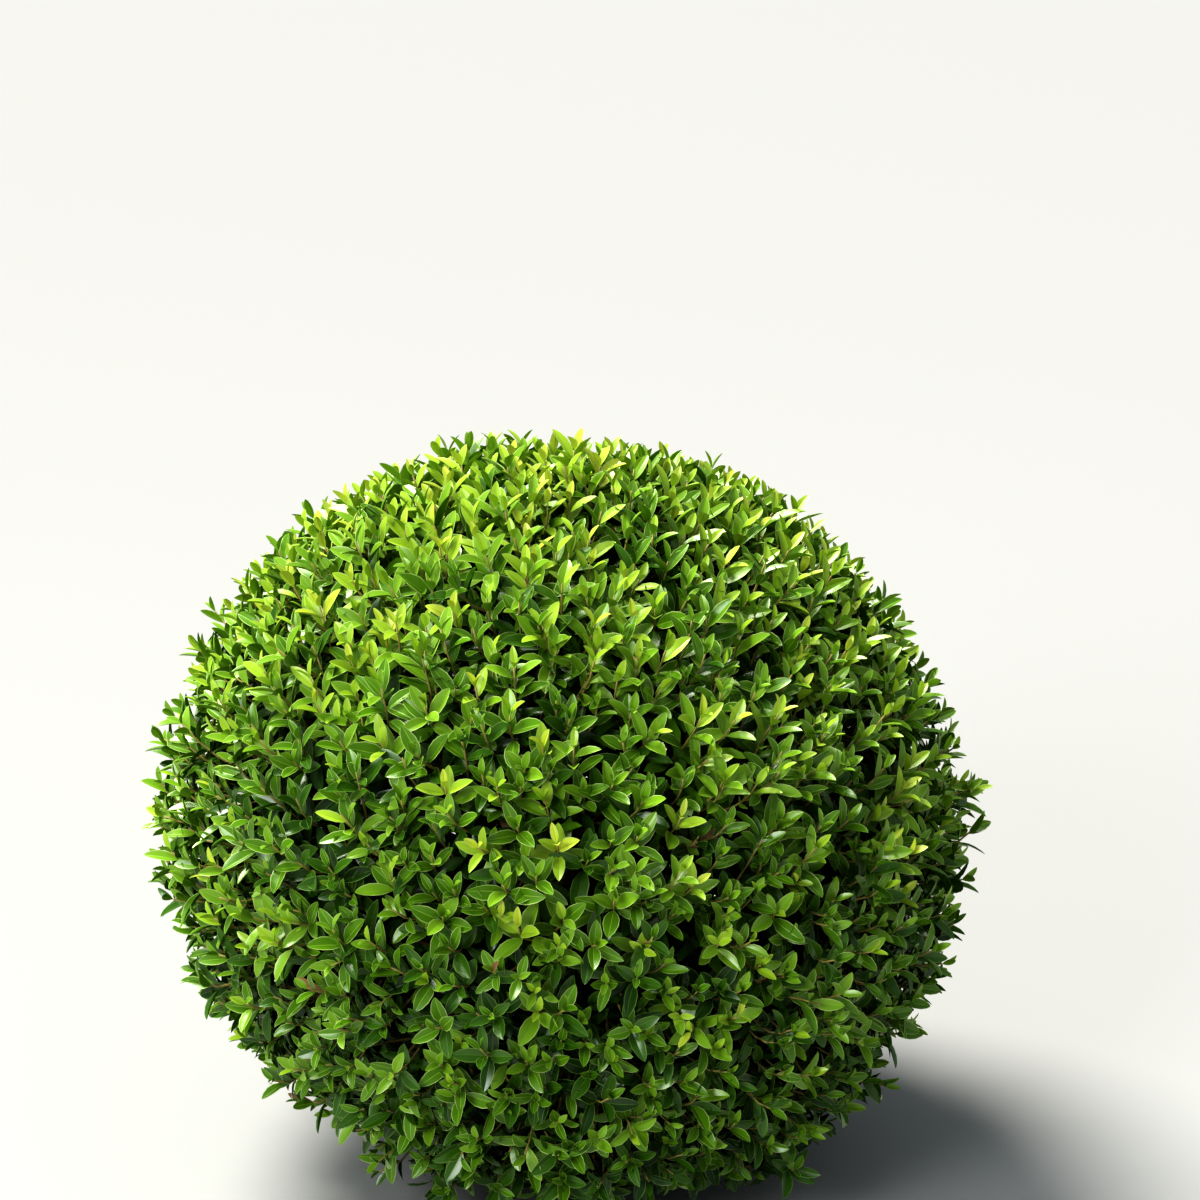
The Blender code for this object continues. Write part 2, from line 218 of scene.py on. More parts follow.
limb_ways = lattice(LIMBS_ALL_ROUND)
limbs = limb_curves(limb_ways)
twig_ways = lattice(TWIGS_ALL_ROUND, TWIG_PUSH)
twigs = grow(twig_ways, TWIG_END_DEPTH, limb_ways, limbs, TWIGS_LEAVE_FROM)
shoot_ways = lattice(SHOOTS_ALL_ROUND, SHOOT_PUSH)
stray = dice.random(len(shoot_ways)) < STRAY_SHARE
stray_more = dice.uniform(*STRAY_MORE, len(shoot_ways))
more = np.where(stray, stray_more, dice.normal(0, UNEVENNESS, len(shoot_ways)))
height = np.clip(shoot_ways[:, 2], 0, 1)
more *= 1 - TOP_CALM * height
more -= TOP_DROP * height**TOP_DROP_SHARPNESS
shoots = grow(shoot_ways, SHOOT_TIP_DEPTH - more, twig_ways, twigs, SHOOTS_LEAVE_FROM)
print(len(limb_ways), "limbs,", len(twig_ways), "twigs,", len(shoot_ways), "shoots")

# %% Grow the short shoots inside the ball
INNER_SHOOTS_ALL_ROUND = 800
INNER_PUSH = 0.3
INNER_TIP_DEPTH = (0.040, 0.072)
INNER_LEAVE_FROM = (0.3, 0.95)

inner_ways = lattice(INNER_SHOOTS_ALL_ROUND, INNER_PUSH)
inner_depth = dice.uniform(*INNER_TIP_DEPTH, len(inner_ways))
inner = grow(inner_ways, inner_depth, limb_ways, limbs, INNER_LEAVE_FROM)
print(len(inner_ways), "inner shoots")

# %% [markdown]
# ## Leaf pairs
# The leaves stand in opposite pairs, each pair square to the one below it, 8 mm apart. The youngest pair
# at the tip is small, upright and yellow-green, and the pairs below it open out, grow and darken. A leaf's
# upper side faces the tip of its shoot.

# %% Where the pairs stand
PAIR_GAP = (0.0070, 0.0088)
FIRST_PAIR_GAP = 0.0006
SIDE_HELPER = np.array([0.31, 0.83, 0.46])
TURN_SLIP = 0.14


def pair_frames(ends, pairs):
    """Each pair's t on its shoot, its place, the shoot's heading there and the two opposite ways out.

    A pair stands one more gap below the tip than the pair above it, and is turned by a right angle.
    """
    count, levels = len(ends[0]), np.arange(pairs)
    span = np.linalg.norm(ends[2] - ends[0], axis=1)[:, None]
    below = levels * dice.uniform(*PAIR_GAP, (count, 1)) + FIRST_PAIR_GAP
    t = 1 - below / span
    place = curve_points(ends, np.clip(t, 0, 1))
    along = curve_headings(ends, np.clip(t, 0, 1))
    turn = dice.uniform(0, math.pi, (count, 1)) + levels * math.pi / 2
    turn = turn + dice.normal(0, TURN_SLIP, (count, pairs))
    side = unit(np.cross(along, SIDE_HELPER))
    out = side * np.cos(turn)[..., None] + np.cross(along, side) * np.sin(turn)[..., None]
    return t, place, along, np.stack([out, -out], axis=2)

# %% Which way each leaf points, and how long it is
PAIR_ANGLES = np.radians([25, 40, 52, 62, 70, 76])
PAIR_SLIP = 0.13
LEAF_SLIP = 0.07
LEAF_RISE = 0.10
LEAF_LENGTH = 0.0196
PAIR_SIZES = np.array([0.56, 0.86, 1.0, 1.0, 0.98, 0.92])
LEAF_SPREAD = (0.84, 1.18)
TOP_LONGER = 0.12
OWN_LENGTH = (0.93, 1.07)


def leaf_blades(heading, both):
    """Along × cos(angle) + out × sin(angle) + a little rise. The lower the pair, the wider its angle."""
    count, pairs = both.shape[:2]
    angle = PAIR_ANGLES[:pairs] + dice.normal(0, PAIR_SLIP, (count, pairs))
    angle = angle[:, :, None] + dice.normal(0, LEAF_SLIP, (count, pairs, 2))
    return unit(heading * np.cos(angle)[..., None] + both * np.sin(angle)[..., None] + LEAF_RISE * UP)


def leaf_lengths(ways, pairs, size):
    """Size × usual length × the pair's share × the shoot's own × the leaf's own, longer near the top."""
    count = len(ways)
    length = size * LEAF_LENGTH * PAIR_SIZES[:pairs] * dice.uniform(*LEAF_SPREAD, (count, 1))
    length = length * (1 + TOP_LONGER * np.clip(ways[:, 2:], 0, 1))
    return length[:, :, None] * dice.uniform(*OWN_LENGTH, (count, pairs, 2))

# %% How fresh each leaf is
TONES = ["deep", "dark", "mid", "fresh", "lime", "yellow", "browned"]
TONE_BY_LEVEL = np.array([1.3, 0.6, 0.0, -0.45, -0.85, -1.2])
OWN_TONE = 0.22
BROWNED_SHARE = 0.0012
# The tone's rise with height is painted light: the top is dealt lighter greens and the foot darker ones.
MIDDLE_TONE = 1.75
TOP_PAINTED_LIGHT_MORE = 1.15
# The inside's tone is partly painted shade: older leaves, darkened further because no light reaches them.
INSIDE_PAINTED_SHADE_TONE = -0.6


def crown_painted_light_tone(ways):
    """Painted light from above: fresher tones at the top and deeper at the foot, as middle tone + more ×
    height, with height from −1 to 1.
    """
    return MIDDLE_TONE + TOP_PAINTED_LIGHT_MORE * ways[:, 2]


def inner_painted_shade_tone(ways):
    """Deep everywhere: older leaves, darkened further as painted shade, since no light reaches the inside.
    """
    return np.full(len(ways), INSIDE_PAINTED_SHADE_TONE)


def leaf_tones(shoot_tone, tone_noise, pairs):
    """The shoot's tone + the spray's own + the pair's + the leaf's own, rounded. A few are browned."""
    count = len(shoot_tone)
    tone = shoot_tone[:, None] + dice.normal(0, tone_noise, (count, 1)) + TONE_BY_LEVEL[:pairs]
    tone = tone[:, :, None] + dice.normal(0, OWN_TONE, (count, pairs, 2))
    tone = np.clip(np.round(tone), 0, TONES.index("yellow")).astype(int)
    return np.where(dice.random(tone.shape) < BROWNED_SHARE, TONES.index("browned"), tone)

# %% Set the leaves along the shoots
CLIPPED_SHARE = 0.03
FIRST_PAIR_PLACE = 0.03
GROUND_GAP = 0.006
STEM_ROOM = 0.034
STEM_ROOM_TOP = 0.12


def set_leaves(ends, ways, shoot_tone, tone_noise, pairs, size):
    """Rows of leaves: root, blade, the shoot's heading, length, tone, mass and level.

    A leaf is left out where it would come near the ground or the stem, and so is the youngest pair of a
    shoot that the shears clipped.
    """
    t, place, along, both = pair_frames(ends, pairs)
    heading = np.broadcast_to(along[:, :, None], both.shape)
    blade = leaf_blades(heading, both)
    length = leaf_lengths(ways, pairs, size)
    tone = leaf_tones(shoot_tone, tone_noise, pairs)
    kept = np.broadcast_to((t > FIRST_PAIR_PLACE)[:, :, None], tone.shape).copy()
    kept[dice.random(len(ways)) < CLIPPED_SHARE, 0] = False
    root = np.broadcast_to(place[:, :, None], both.shape)
    tip = root + blade * length[..., None]
    kept &= (tip[..., 2] > GROUND_GAP) & (root[..., 2] > GROUND_GAP)
    kept &= (np.hypot(tip[..., 0], tip[..., 1]) > STEM_ROOM) | (tip[..., 2] > STEM_ROOM_TOP)
    rows = {"root": root, "blade": blade, "along": heading, "length": length, "tone": tone}
    rows["mass"] = np.broadcast_to(mass_numbers(ways)[:, None, None], tone.shape)
    rows["level"] = np.broadcast_to(np.arange(pairs)[None, :, None], tone.shape)
    return {key: values[kept] for key, values in rows.items()}


crown_leaves = set_leaves(shoots, shoot_ways, crown_painted_light_tone(shoot_ways), tone_noise=0.7, pairs=6, size=1.0)
inner_leaves = set_leaves(inner, inner_ways, inner_painted_shade_tone(inner_ways), tone_noise=0.3, pairs=4, size=1.2)
print(len(crown_leaves["tone"]), "crown leaves and", len(inner_leaves["tone"]), "inner leaves")

# %% [markdown]
# ## One leaf
# A leaf is small, glossy and elliptic, folded up along its midrib, with a tip that turns back, a short
# stalk and a thin edge. The edge and the midrib are painted paler, as painted highlights. A picture of a
# leaf on a flat card would show its corners against the light, so each leaf is a real surface of two
# parameters: u along the midrib and v across it. Leaves deep in the ball need fewer faces than those in
# sight.

# %% The leaf as a surface
# Kinds of strip. The midrib and edge strips take paler finishes that are painted highlights.
BLADE, MIDRIB_HIGHLIGHT, EDGE_HIGHLIGHT = 0, 1, 2
STALK_SHARE = 0.08
STALK_WIDTH = 0.10
OUTER_STATIONS = np.array([0.08, 0.20, 0.40, 0.63, 0.84, 0.955])
OUTER_ACROSS = np.array([-1.0, -0.89, -0.055, 0.055, 0.89, 1.0])
OUTER_STRIPS = np.array([EDGE_HIGHLIGHT, BLADE, MIDRIB_HIGHLIGHT, BLADE, EDGE_HIGHLIGHT])
MIDDLE_STATIONS = np.array([0.24, 0.52, 0.82])
INNER_STATIONS = np.array([0.32, 0.74])
PLAIN_ACROSS = np.array([-1.0, 0.0, 1.0])
PLAIN_STRIPS = np.array([BLADE, BLADE])


def leaf_form(stations, across, strips):
    """(u, v, quads, triangles, kinds) of a grid between a stalk point and a tip point."""
    columns, last = len(across), 1 + (len(stations) - 1) * len(across)
    u = np.concatenate([[0.0], np.repeat(stations, columns), [1.0]])
    v = np.concatenate([[0.0], np.tile(across, len(stations)), [0.0]])
    j = np.arange(columns - 1)
    first = 1 + np.arange(len(stations) - 1)[:, None] * columns + j
    quads = np.stack([first, first + columns, first + columns + 1, first + 1], -1).reshape(-1, 4)
    stalk = np.stack([0 * j, 1 + j, 2 + j], -1)
    point = np.stack([last + j, 0 * j + len(u) - 1, last + j + 1], -1)
    stalk_kinds = np.full(columns - 1, MIDRIB_HIGHLIGHT if MIDRIB_HIGHLIGHT in strips else BLADE)
    kinds = np.tile(strips, len(stations) - 1), np.concatenate([stalk_kinds, strips])
    return u, v, quads, np.concatenate([stalk, point]), kinds

# %% Bend the grid into a leaf
LEAF_WIDTH = 0.37
LEAF_BLUNTNESS = 0.72
WIDTH_RANGE = (0.88, 1.12)
FOLD_RANGE = (0.50, 1.00)
FOLD_EASE = 0.28
CURL_RANGE = (0.02, 0.20)
LEAN = 0.05


def half_width(u):
    """(4x(1 − x))^bluntness, a slightly pointed ellipse. x runs from 0 at the stalk to 1 at the tip."""
    x = np.clip((u - STALK_SHARE) / (1 - STALK_SHARE), 0, 1)
    return np.maximum((4 * x * (1 - x)) ** LEAF_BLUNTNESS, STALK_WIDTH)


def leaf_points(leaves, form):
    """Root + blade × u length + side × (v half width + lean) + up × (fold − curl).

    The fold rises with |v| and eases to the edge. The curl and the sideways lean grow with u squared.
    """
    u, v = form[0], form[1]
    count = len(leaves["length"])
    side = unit(np.cross(leaves["along"], leaves["blade"]))
    up = np.cross(leaves["blade"], side)
    length = leaves["length"][:, None]
    wide = length / 2 * LEAF_WIDTH * dice.uniform(*WIDTH_RANGE, (count, 1)) * half_width(u)
    fold = dice.uniform(*FOLD_RANGE, (count, 1)) * (np.abs(v) - FOLD_EASE * v**2) * wide
    curl = dice.uniform(*CURL_RANGE, (count, 1)) * length * u**2
    lean = dice.normal(0, LEAN, (count, 1)) * length * u**2
    return (
        leaves["root"][:, None]
        + leaves["blade"][:, None] * (length * u)[..., None]
        + side[:, None] * (v * wide + lean)[..., None]
        + up[:, None] * (fold - curl)[..., None]
    )


outer_form = leaf_form(OUTER_STATIONS, OUTER_ACROSS, OUTER_STRIPS)
middle_form = leaf_form(MIDDLE_STATIONS, PLAIN_ACROSS, PLAIN_STRIPS)
inner_form = leaf_form(INNER_STATIONS, PLAIN_ACROSS, PLAIN_STRIPS)
print("faces of an outer leaf:", len(outer_form[2]) + len(outer_form[3]))

# %% [markdown]
# ## Leaf finishes
# A glossy leaf is a plain green with a clear reflection over it. The greens could be one material with a
# picture of many, but plain base colours, dealt out spray by spray, stay sharp and light. Young leaves are
# yellow-green, old ones a deep green, and a few scraps are browned by the shears. Paler edges and midribs
# are painted highlights, and the tones also carry painted light: lighter at the top, darker at the foot and
# inside.

# %% Make the finishes
LEAF_GLOSS = 0.27


def plain(name, colour, roughness):
    """A material of one base colour and one roughness."""
    made = bpy.data.materials.new(name)
    made.use_nodes = True
    shader = made.node_tree.nodes["Principled BSDF"]
    shader.inputs["Base Color"].default_value = (*colour, 1)
    shader.inputs["Roughness"].default_value = roughness
    made.diffuse_color = (*colour, 1)
    return made


leaf_finishes = [
    plain("leaf deep green", (0.018, 0.060, 0.003), LEAF_GLOSS),
    plain("leaf dark green", (0.044, 0.122, 0.005), LEAF_GLOSS),
    plain("leaf green", (0.098, 0.222, 0.008), LEAF_GLOSS),
    plain("leaf fresh green", (0.180, 0.335, 0.018), LEAF_GLOSS + 0.02),
    plain("leaf lime green", (0.320, 0.475, 0.030), LEAF_GLOSS + 0.04),
    plain("leaf yellow green", (0.480, 0.560, 0.060), LEAF_GLOSS + 0.06),
    plain("leaf browned", (0.240, 0.150, 0.055), 0.7),
    # Painted highlights: paler edge and midrib lines where light would catch the leaf. The dim copies go on
    # deep and dark leaves.
    plain("leaf edge painted highlight", (0.400, 0.520, 0.170), 0.42),
    plain("leaf edge dim painted highlight", (0.150, 0.255, 0.055), 0.42),
    plain("leaf midrib painted highlight", (0.235, 0.385, 0.030), 0.42),
    plain("leaf midrib dim painted highlight", (0.078, 0.165, 0.014), 0.42),
]
# Rows: blade, midrib, edge; columns: the tones. The midrib and edge rows are painted highlights, dimmer on
# deep and dark leaves.
FINISH_OF = np.array([
    [0, 1, 2, 3, 4, 5, 6],
    [10, 10, 9, 9, 9, 9, 6],
    [8, 8, 7, 7, 7, 7, 6],
])
print(len(leaf_finishes), "leaf finishes")

# %% [markdown]
# ## From rows to meshes
# Copies of one form differ only in their points, so a mesh is the form's faces repeated, each time with
# the copy's own first vertex added. The rows go into Blender in one call each.

# %% Join copies into one mesh
def joined(blocks):
    """All points, quads, triangles and their finishes. Corner = the copy's first vertex + the form's."""
    rows, first = [], 0
    for points, quads, tris, on_quads, on_tris in blocks:
        count, size = points.shape[:2]
        base = first + size * np.arange(count)[:, None, None]
        quad_finish = np.broadcast_to(on_quads, (count, len(quads))).ravel()
        tri_finish = np.broadcast_to(on_tris, (count, len(tris))).ravel()
        shapes = points.reshape(-1, 3), (base + quads).reshape(-1, 4), (base + tris).reshape(-1, 3)
        rows.append((*shapes, quad_finish, tri_finish))
        first += count * size
    return [np.concatenate(column) for column in zip(*rows)]


def joined_piece(name, blocks, finishes):
    """One smooth object from blocks of points, quads, triangles and the finish of each face."""
    points, quads, tris, quad_finish, tri_finish = joined(blocks)
    corners = np.concatenate([quads.ravel(), tris.ravel()])
    starts = np.concatenate([4 * np.arange(len(quads)), 4 * len(quads) + 3 * np.arange(len(tris))])
    finish = np.concatenate([quad_finish, tri_finish])
    mesh = bpy.data.meshes.new(name)
    mesh.vertices.add(len(points))
    mesh.vertices.foreach_set("co", points.astype(np.float32).ravel())
    mesh.loops.add(len(corners))
    mesh.loops.foreach_set("vertex_index", corners.astype(np.int32))
    mesh.polygons.add(len(starts))
    mesh.polygons.foreach_set("loop_start", starts.astype(np.int32))
    mesh.polygons.foreach_set("material_index", finish.astype(np.int32))
    mesh.polygons.foreach_set("use_smooth", np.ones(len(starts), bool))
    mesh.update(calc_edges=True)
    mesh.validate()
    for made in finishes:
        mesh.materials.append(made)
    piece = bpy.data.objects.new(name, mesh)
    bpy.context.scene.collection.objects.link(piece)
    print(f"{name}: {2 * len(quads) + len(tris)} triangles")
    return piece

# %% Settle a piece on the part
def settle(piece, node):
    """The piece rides on the part's one body and stands for its node, which is hidden."""
    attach(piece, "root")
    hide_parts(node)


def leaf_block(leaves, rows, form):
    """Points and faces of these rows of leaves. A face's finish comes from its kind and the leaf's tone."""
    chosen = {key: values[rows] for key, values in leaves.items()}
    _, _, quads, tris, (quad_kinds, tri_kinds) = form
    tone = chosen["tone"][:, None]
    on_quads, on_tris = FINISH_OF[quad_kinds, tone], FINISH_OF[tri_kinds, tone]
    return leaf_points(chosen, form), quads, tris, on_quads, on_tris

# %% [markdown]
# ## Leaves on every mass
# Each mass gets one piece of leaves. The four youngest pairs are in sight, so they have the full form, and
# the pairs below them and inside the ball are plainer.

# %% Build the leaves
OUTER_PAIRS = 4

for number, place in enumerate(MASSES):
    here = crown_leaves["mass"] == number
    outer = here & (crown_leaves["level"] < OUTER_PAIRS)
    blocks = [
        leaf_block(crown_leaves, outer, outer_form),
        leaf_block(crown_leaves, here & ~outer, middle_form),
        leaf_block(inner_leaves, inner_leaves["mass"] == number, inner_form),
    ]
    piece = joined_piece(f"leaves_{place}", blocks, leaf_finishes)
    settle(piece, f"foliage_{place}")

# %% [markdown]
# ## Twigs as tapering tubes
# Limbs and twigs are round and taper to their tips. A tube is a ring of points carried along each curve.
# Old limbs are brown, twigs reddish and young shoots tan.

# %% A tube along each curve
MOST_UPRIGHT = 0.8


def tube_block(ends, radii, sides, rings, finish):
    """Centre + radius × (side cos a + up sin a) along each curve, closed by a fan at both ends."""
    t = np.broadcast_to(np.linspace(0, 1, rings), (len(ends[0]), rings))
    centres, along = curve_points(ends, t), curve_headings(ends, t)
    whole = unit(ends[2] - ends[0])
    helper = np.where(np.abs(whole[:, 2:]) < MOST_UPRIGHT, UP, np.array([1.0, 0.0, 0.0]))
    side = unit(np.cross(along, helper[:, None]))
    up = np.cross(along, side)
    a = 2 * math.pi * np.arange(sides)[:, None] / sides
    ring = side[:, :, None] * np.cos(a) + up[:, :, None] * np.sin(a)
    radius = radii[0] + (radii[1] - radii[0]) * t
    points = centres[:, :, None] + ring * radius[..., None, None]
    quads, tris = tube_faces(rings, sides)
    return points.reshape(len(points), -1, 3), quads, tris, finish, finish


def tube_faces(rings, sides):
    """Quads between neighbouring rings and a fan of triangles over the first and the last ring."""
    k = np.arange(sides)
    first = np.arange(rings - 1)[:, None] * sides
    a, b = first + k, first + (k + 1) % sides
    quads = np.stack([a, b, b + sides, a + sides], -1).reshape(-1, 4)
    fan = np.stack([0 * k[1:-1], k[1:-1], k[2:]], -1)
    return quads, np.concatenate([fan[:, ::-1], fan + (rings - 1) * sides])

# %% Build the twigs
STEM_OVERLAP = 0.004
STEM_RADII = (0.0033, 0.0024)
LIMB_RADII = (0.0024, 0.0016)
TWIG_RADII = (0.0015, 0.0011)
SHOOT_RADII = (0.0010, 0.0005)
BROWN, REDDISH, TAN = 0, 1, 2
twig_finishes = [
    plain("limb bark brown", (0.105, 0.062, 0.036), 0.85),
    plain("twig bark reddish", (0.190, 0.100, 0.050), 0.75),
    plain("shoot tan", (0.330, 0.260, 0.080), 0.6),
]


def own(ends, ways, number):
    """Those curves that belong to this mass."""
    rows = mass_numbers(ways) == number
    return tuple(end[rows] for end in ends)


for number, place in enumerate(MASSES):
    axis = MASS_AXES[number][None]
    stem_from = CROWN_MIDDLE + axis * (BOUGH_END - STEM_OVERLAP)
    stem_to = CROWN_MIDDLE + axis * MASS_STEM_END
    mass_stem = stem_from, (stem_from + stem_to) / 2, stem_to
    blocks = [
        tube_block(mass_stem, STEM_RADII, sides=8, rings=6, finish=BROWN),
        tube_block(own(limbs, limb_ways, number), LIMB_RADII, sides=6, rings=9, finish=BROWN),
        tube_block(own(twigs, twig_ways, number), TWIG_RADII, sides=5, rings=6, finish=REDDISH),
        tube_block(own(shoots, shoot_ways, number), SHOOT_RADII, sides=4, rings=6, finish=TAN),
        tube_block(own(inner, inner_ways, number), SHOOT_RADII, sides=3, rings=5, finish=REDDISH),
    ]
    piece = joined_piece(f"twigs_{place}", blocks, twig_finishes)
    settle(piece, f"foliage_{place}")

# %% [markdown]
# ## Bark on the stem and the boughs
# Old honeysuckle bark peels in long, thin shreds. They stand up from the wood, so they are modelled as
# relief: sines of whole turns round the limb, which meet at the seam and drift slowly along it. Colour
# follows the same direction, from an attribute that each vertex keeps: its place round and along the limb.

# %% Relief of the shreds
WIDE_TURNS, FINE_TURNS, FINEST_TURNS = 7, 13, 24
WIDE_SHARE, FINE_SHARE, FINEST_SHARE = 0.5, 0.3, 0.2
FINE_TWIST, FINEST_TWIST = -90, 150
DRIFT, DRIFT_PACE = 2.2, 48


def shreds(angle, distance):
    """The sum of share × sin(turns × angle + twist × distance). The wide shreds drift and don't twist."""
    wide = np.sin(WIDE_TURNS * angle + DRIFT * np.sin(DRIFT_PACE * distance))
    fine = np.sin(FINE_TURNS * angle + FINE_TWIST * distance)
    finest = np.sin(FINEST_TURNS * angle + FINEST_TWIST * distance)
    return WIDE_SHARE * wide + FINE_SHARE * fine + FINEST_SHARE * finest

# %% The bark's colour pattern
SHRED_SCALE = 3.2
SHRED_DETAIL = 5.0
SHRED_ROUGHNESS = 0.62


def bark_pattern():
    """A group that turns a place round and along the limb into a colour and a height, by noise."""
    group = bpy.data.node_groups.new("bark shreds", "ShaderNodeTree")
    sockets = group.interface
    sockets.new_socket("Place", in_out="INPUT", socket_type="NodeSocketVector")
    sockets.new_socket("Dark", in_out="INPUT", socket_type="NodeSocketColor")
    sockets.new_socket("Light", in_out="INPUT", socket_type="NodeSocketColor")
    sockets.new_socket("Colour", in_out="OUTPUT", socket_type="NodeSocketColor")
    sockets.new_socket("Height", in_out="OUTPUT", socket_type="NodeSocketFloat")
    nodes, links = group.nodes, group.links
    given, put = nodes.new("NodeGroupInput"), nodes.new("NodeGroupOutput")
    noise, mix = nodes.new("ShaderNodeTexNoise"), nodes.new("ShaderNodeMix")
    noise.inputs["Scale"].default_value = SHRED_SCALE
    noise.inputs["Detail"].default_value = SHRED_DETAIL
    noise.inputs["Roughness"].default_value = SHRED_ROUGHNESS
    mix.data_type = "RGBA"
    links.new(given.outputs["Place"], noise.inputs["Vector"])
    links.new(noise.outputs["Fac"], mix.inputs["Factor"])
    links.new(given.outputs["Dark"], mix.inputs[6])
    links.new(given.outputs["Light"], mix.inputs[7])
    links.new(mix.outputs[2], put.inputs["Colour"])
    links.new(noise.outputs["Fac"], put.inputs["Height"])
    return group

# %% Two bark materials
FINE_RELIEF = 0.0006
FINE_STRENGTH = 0.35


def bark(name, pattern, dark, light, roughness):
    """A matt material whose colour and fine relief come from the shared pattern."""
    made = plain(name, light, roughness)
    nodes, links = made.node_tree.nodes, made.node_tree.links
    place, shared = nodes.new("ShaderNodeAttribute"), nodes.new("ShaderNodeGroup")
    bump = nodes.new("ShaderNodeBump")
    place.attribute_name = "bark_place"
    shared.node_tree = pattern
    shared.inputs["Dark"].default_value = (*dark, 1)
    shared.inputs["Light"].default_value = (*light, 1)
    bump.inputs["Strength"].default_value = FINE_STRENGTH
    bump.inputs["Distance"].default_value = FINE_RELIEF
    shader = nodes["Principled BSDF"]
    links.new(place.outputs["Vector"], shared.inputs["Place"])
    links.new(shared.outputs["Colour"], shader.inputs["Base Color"])
    links.new(shared.outputs["Height"], bump.inputs["Height"])
    links.new(bump.outputs["Normal"], shader.inputs["Normal"])
    return made


pattern = bark_pattern()
old_bark = bark("bark old", pattern, (0.045, 0.027, 0.018), (0.185, 0.118, 0.076), 0.9)
young_bark = bark("bark young", pattern, (0.085, 0.046, 0.026), (0.270, 0.160, 0.092), 0.82)
print("bark pattern sockets:", [item.name for item in pattern.interface.items_tree])

# %% [markdown]
# ## The stem and its boughs
# The stem keeps the part's rings, carried to many finer ones, with a root flare, five low ridges and a
# knobbed fork. The boughs are cubic curves that leave the fork with a small collar and run straight where
# they meet their mass.

# %% Wood that keeps each vertex's place for the bark
SHRED_STRETCH = 60.0


def wood_piece(name, points, angle, distance, finish):
    """A closed limb from a grid of points, ring by ring, with each vertex's place kept for the bark."""
    rings, sides = points.shape[:2]
    quads, tris = tube_faces(rings, sides)
    piece = joined_piece(name, [(points.reshape(1, -1, 3), quads, tris, 0, 0)], [finish])
    stretched = np.broadcast_to(distance * SHRED_STRETCH, angle.shape)
    around = np.stack([np.cos(angle), np.sin(angle), stretched], -1)
    kept = piece.data.attributes.new("bark_place", "FLOAT_VECTOR", "POINT")
    kept.data.foreach_set("vector", around.astype(np.float32).ravel())
    return piece


def ring_angles(rings, sides):
    """2π k / sides for every ring."""
    return np.broadcast_to(2 * math.pi * np.arange(sides) / sides, (rings, sides))

# %% Build the stem
STEM_HEIGHT = 0.062
STEM_LEAN = np.array([0.004, 0.003, 0.0])
STEM_TOP = 0.084
SMOOTH_FOOT = 0.004
RING_HEIGHTS = [0.0, 0.006, 0.014, 0.024, 0.038, 0.050, 0.062, 0.072, 0.080, 0.084]
RING_RADII = [0.0240, 0.0195, 0.0160, 0.0136, 0.0132, 0.0150, 0.0175, 0.0155, 0.0095, 0.0040]
ROOT_RIDGES = 5
ROOT_RIDGE_HEIGHT = 0.11
ROOT_FLARE_TOP = 0.024
STEM_SIDES = 72
STEM_RINGS = 90
STEM_RELIEF = 0.00055

heights = np.linspace(0, STEM_TOP, STEM_RINGS)[:, None]
angles = ring_angles(STEM_RINGS, STEM_SIDES)
ridges = ROOT_RIDGE_HEIGHT * np.clip(1 - heights / ROOT_FLARE_TOP, 0, 1)
reach = np.interp(heights, RING_HEIGHTS, RING_RADII) * (1 + ridges * np.cos(ROOT_RIDGES * angles))
reach = reach + STEM_RELIEF * shreds(angles, heights) * np.clip(heights / SMOOTH_FOOT, 0, 1)
lean = STEM_LEAN * np.clip(heights / STEM_HEIGHT, 0, 1)[..., None]
levels = np.broadcast_to(heights, angles.shape)
circles = np.stack([reach * np.cos(angles), reach * np.sin(angles), levels], -1)
stem = wood_piece("bark_stem", lean + circles, angles, heights, old_bark)
settle(stem, "stem")

# %% The boughs as rings along a curve
BOUGH_SIDES = 28
BOUGH_RINGS = 44
STRAIGHT_SHARES = np.linspace(0.25, 1, 4)
BOUGH_TILT = math.radians(50)
BOUGH_STRAIGHT = 0.008
BOUGH_LEAVING = 0.42
BOUGH_ARRIVING = 0.38
BOUGH_BASE_RADIUS = 0.0056
BOUGH_TIP_RADIUS = 0.0033
COLLAR = 0.5
COLLAR_START = 0.012
COLLAR_REACH = 0.009
SMOOTHER_TIP = 0.6
BOUGH_RELIEF = 0.00028


def bough_centres(axis, azimuth, steps):
    """The part's cubic curve, from inside the fork to the bend, then straight to where the mass begins."""
    start = STEM_LEAN + UP * STEM_HEIGHT
    bend = CROWN_MIDDLE + axis * (BOUGH_END - BOUGH_STRAIGHT)
    leaving = UP if azimuth is None else directions_of(azimuth, BOUGH_TILT)
    span = np.linalg.norm(bend - start)
    second = start + leaving * span * BOUGH_LEAVING
    third = bend - axis * span * BOUGH_ARRIVING
    t = np.linspace(0, 1, steps)[:, None]
    curved = (1 - t) ** 3 * start + 3 * t * (1 - t) ** 2 * second
    curved = curved + 3 * t**2 * (1 - t) * third + t**3 * bend
    straight = bend + axis * BOUGH_STRAIGHT * STRAIGHT_SHARES[:, None]
    return np.concatenate([curved, straight])


